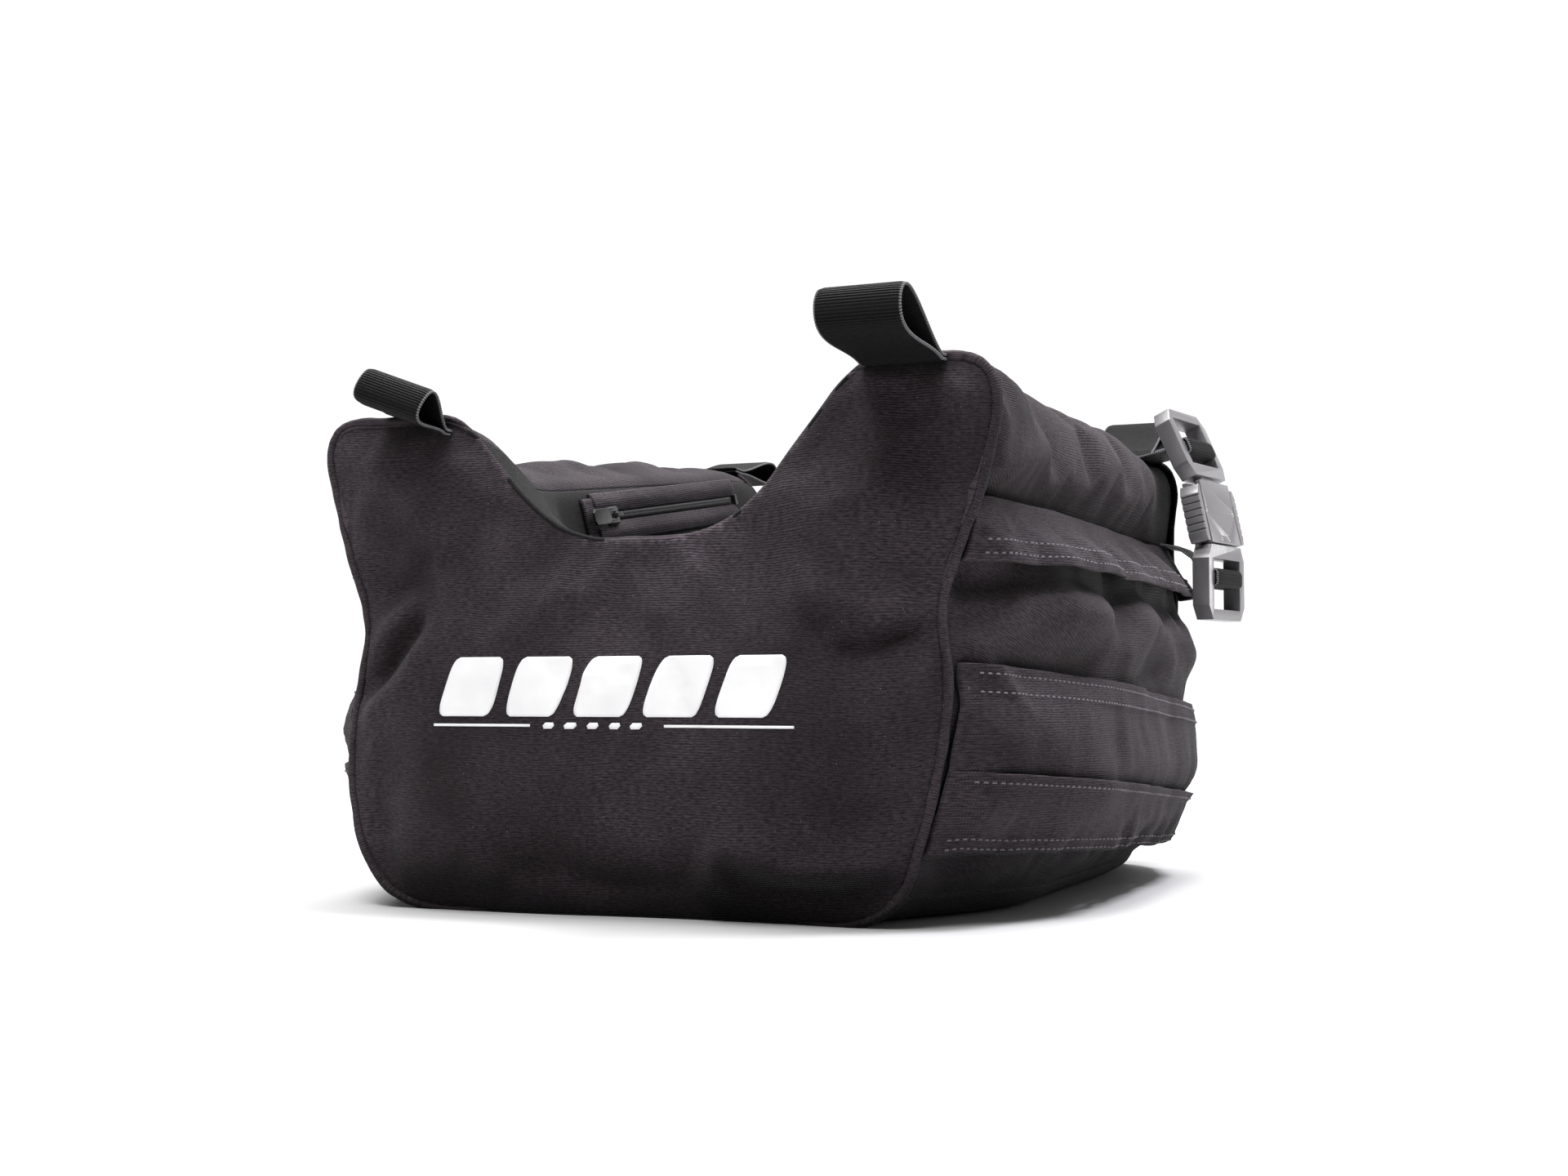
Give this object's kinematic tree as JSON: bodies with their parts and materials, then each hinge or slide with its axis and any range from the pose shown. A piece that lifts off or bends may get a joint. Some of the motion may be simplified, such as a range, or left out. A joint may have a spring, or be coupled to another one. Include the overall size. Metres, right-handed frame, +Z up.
{
  "type": "saddle sandbag",
  "caption": "Saddle-shaped canvas support sandbag with two ridges, a U-shaped dip, webbing loops, side pockets, a zip and a quick-release buckle.",
  "frame": {"origin": "centre of the flat base, on the ground", "axes": "+Z up, +Y to the back, +X to the right seen from the front"},
  "size_m": [0.3891, 0.49, 0.272],
  "materials": {
    "canvas": "coarse ribbed canvas, matt",
    "lining": "plain woven liner",
    "webbing": "ribbed webbing with a slight sheen",
    "saddle_fabric": "fine grippy cloth, matt",
    "zip_tape": "herringbone tape",
    "zip_coil": "nylon coil",
    "zip_metal": "black enamel",
    "pin_steel": "plain steel",
    "buckle_metal": "satin grey, bright worn edges"
  },
  "bodies": {
    "bag": {"front_panel": "canvas", "rear_panel": "canvas", "base_panel": "canvas", "trough_panel": "saddle_fabric", "right_side_panel": "canvas", "left_side_panel": "canvas", "right_ridge_panel": "canvas", "left_ridge_panel": "canvas", "left_wing_band": "canvas", "right_wing_band": "canvas", "left_side_pocket": "canvas", "right_side_pocket": "canvas", "left_lower_band": "canvas", "right_lower_band": "canvas", "front_left_piping": "canvas", "front_right_piping": "canvas", "rear_left_piping": "canvas", "rear_right_piping": "canvas", "base_fill_bag": "lining", "left_ridge_fill_bag": "lining", "right_ridge_fill_bag": "lining", "zip_upper_tape": "zip_tape", "zip_lower_tape": "zip_tape", "zip_coil": "zip_coil", "zip_rear_stop": "pin_steel", "zip_garage": "canvas", "upper_strap": "webbing", "lower_strap": "webbing", "lower_strap_wrap": "webbing", "buckle_socket_plate": "buckle_metal", "buckle_cover_plate": "buckle_metal", "buckle_front_clip_spring": "pin_steel", "buckle_rear_clip_spring": "pin_steel", "buckle_front_clip_pin": "pin_steel", "buckle_rear_clip_pin": "pin_steel", "buckle_front_rivet": "pin_steel", "buckle_rear_rivet": "pin_steel"},
    "front_left_loop": {"front_left_loop": "webbing"},
    "front_right_loop": {"front_right_loop": "webbing"},
    "rear_left_loop": {"rear_left_loop": "webbing"},
    "rear_right_loop": {"rear_right_loop": "webbing"},
    "slider": {"zip_slider": "zip_metal"},
    "puller": {"zip_puller": "zip_metal"},
    "plug": {"buckle_plug": "buckle_metal", "upper_strap_wrap": "webbing"},
    "front_clip": {"buckle_front_clip": "buckle_metal"},
    "rear_clip": {"buckle_rear_clip": "buckle_metal"}
  },
  "joints": [
    {"name": "front_left_loop_hinge", "type": "hinge", "parent": "bag", "child": "front_left_loop", "pos_m": [-0.118, -0.1896, 0.233], "axis": [0.9397, 0, -0.342], "range_deg": [-40, 40]},
    {"name": "front_right_loop_hinge", "type": "hinge", "parent": "bag", "child": "front_right_loop", "pos_m": [0.129, -0.1896, 0.245], "axis": [1, 0, 0], "range_deg": [-58, 55]},
    {"name": "rear_left_loop_hinge", "type": "hinge", "parent": "bag", "child": "rear_left_loop", "pos_m": [-0.136, 0.1896, 0.245], "axis": [1, 0, 0], "range_deg": [-36, 77]},
    {"name": "rear_right_loop_hinge", "type": "hinge", "parent": "bag", "child": "rear_right_loop", "pos_m": [0.134, 0.1896, 0.245], "axis": [1, 0, 0], "range_deg": [-51, 62]},
    {"name": "zip_slide", "type": "slide", "parent": "bag", "child": "slider", "axis": [-0.0261, 0.9893, 0.1437], "range_m": [0, 0.166]},
    {"name": "puller_hinge", "type": "hinge", "parent": "slider", "child": "puller", "pos_m": [-0.09343, -0.03221, 0.19753], "axis": [-0.177, -0.1461, 0.9733], "range_deg": [0, 150]},
    {"name": "plug_slide", "type": "slide", "parent": "bag", "child": "plug", "axis": [-0.2041, 0.0397, 0.9781], "range_m": [0, 0.03]},
    {"name": "front_clip_squeeze", "type": "hinge", "parent": "bag", "child": "front_clip", "pos_m": [0.1876, 0.14616, 0.20406], "axis": [0.9602, -0.1866, 0.2079], "range_deg": [0, 6], "stiffness_Nm_per_rad": 0.4},
    {"name": "rear_clip_squeeze", "type": "hinge", "parent": "bag", "child": "rear_clip", "pos_m": [0.19523, 0.18543, 0.20406], "axis": [-0.9602, 0.1866, -0.2079], "range_deg": [0, 6], "stiffness_Nm_per_rad": 0.4}
  ]
}
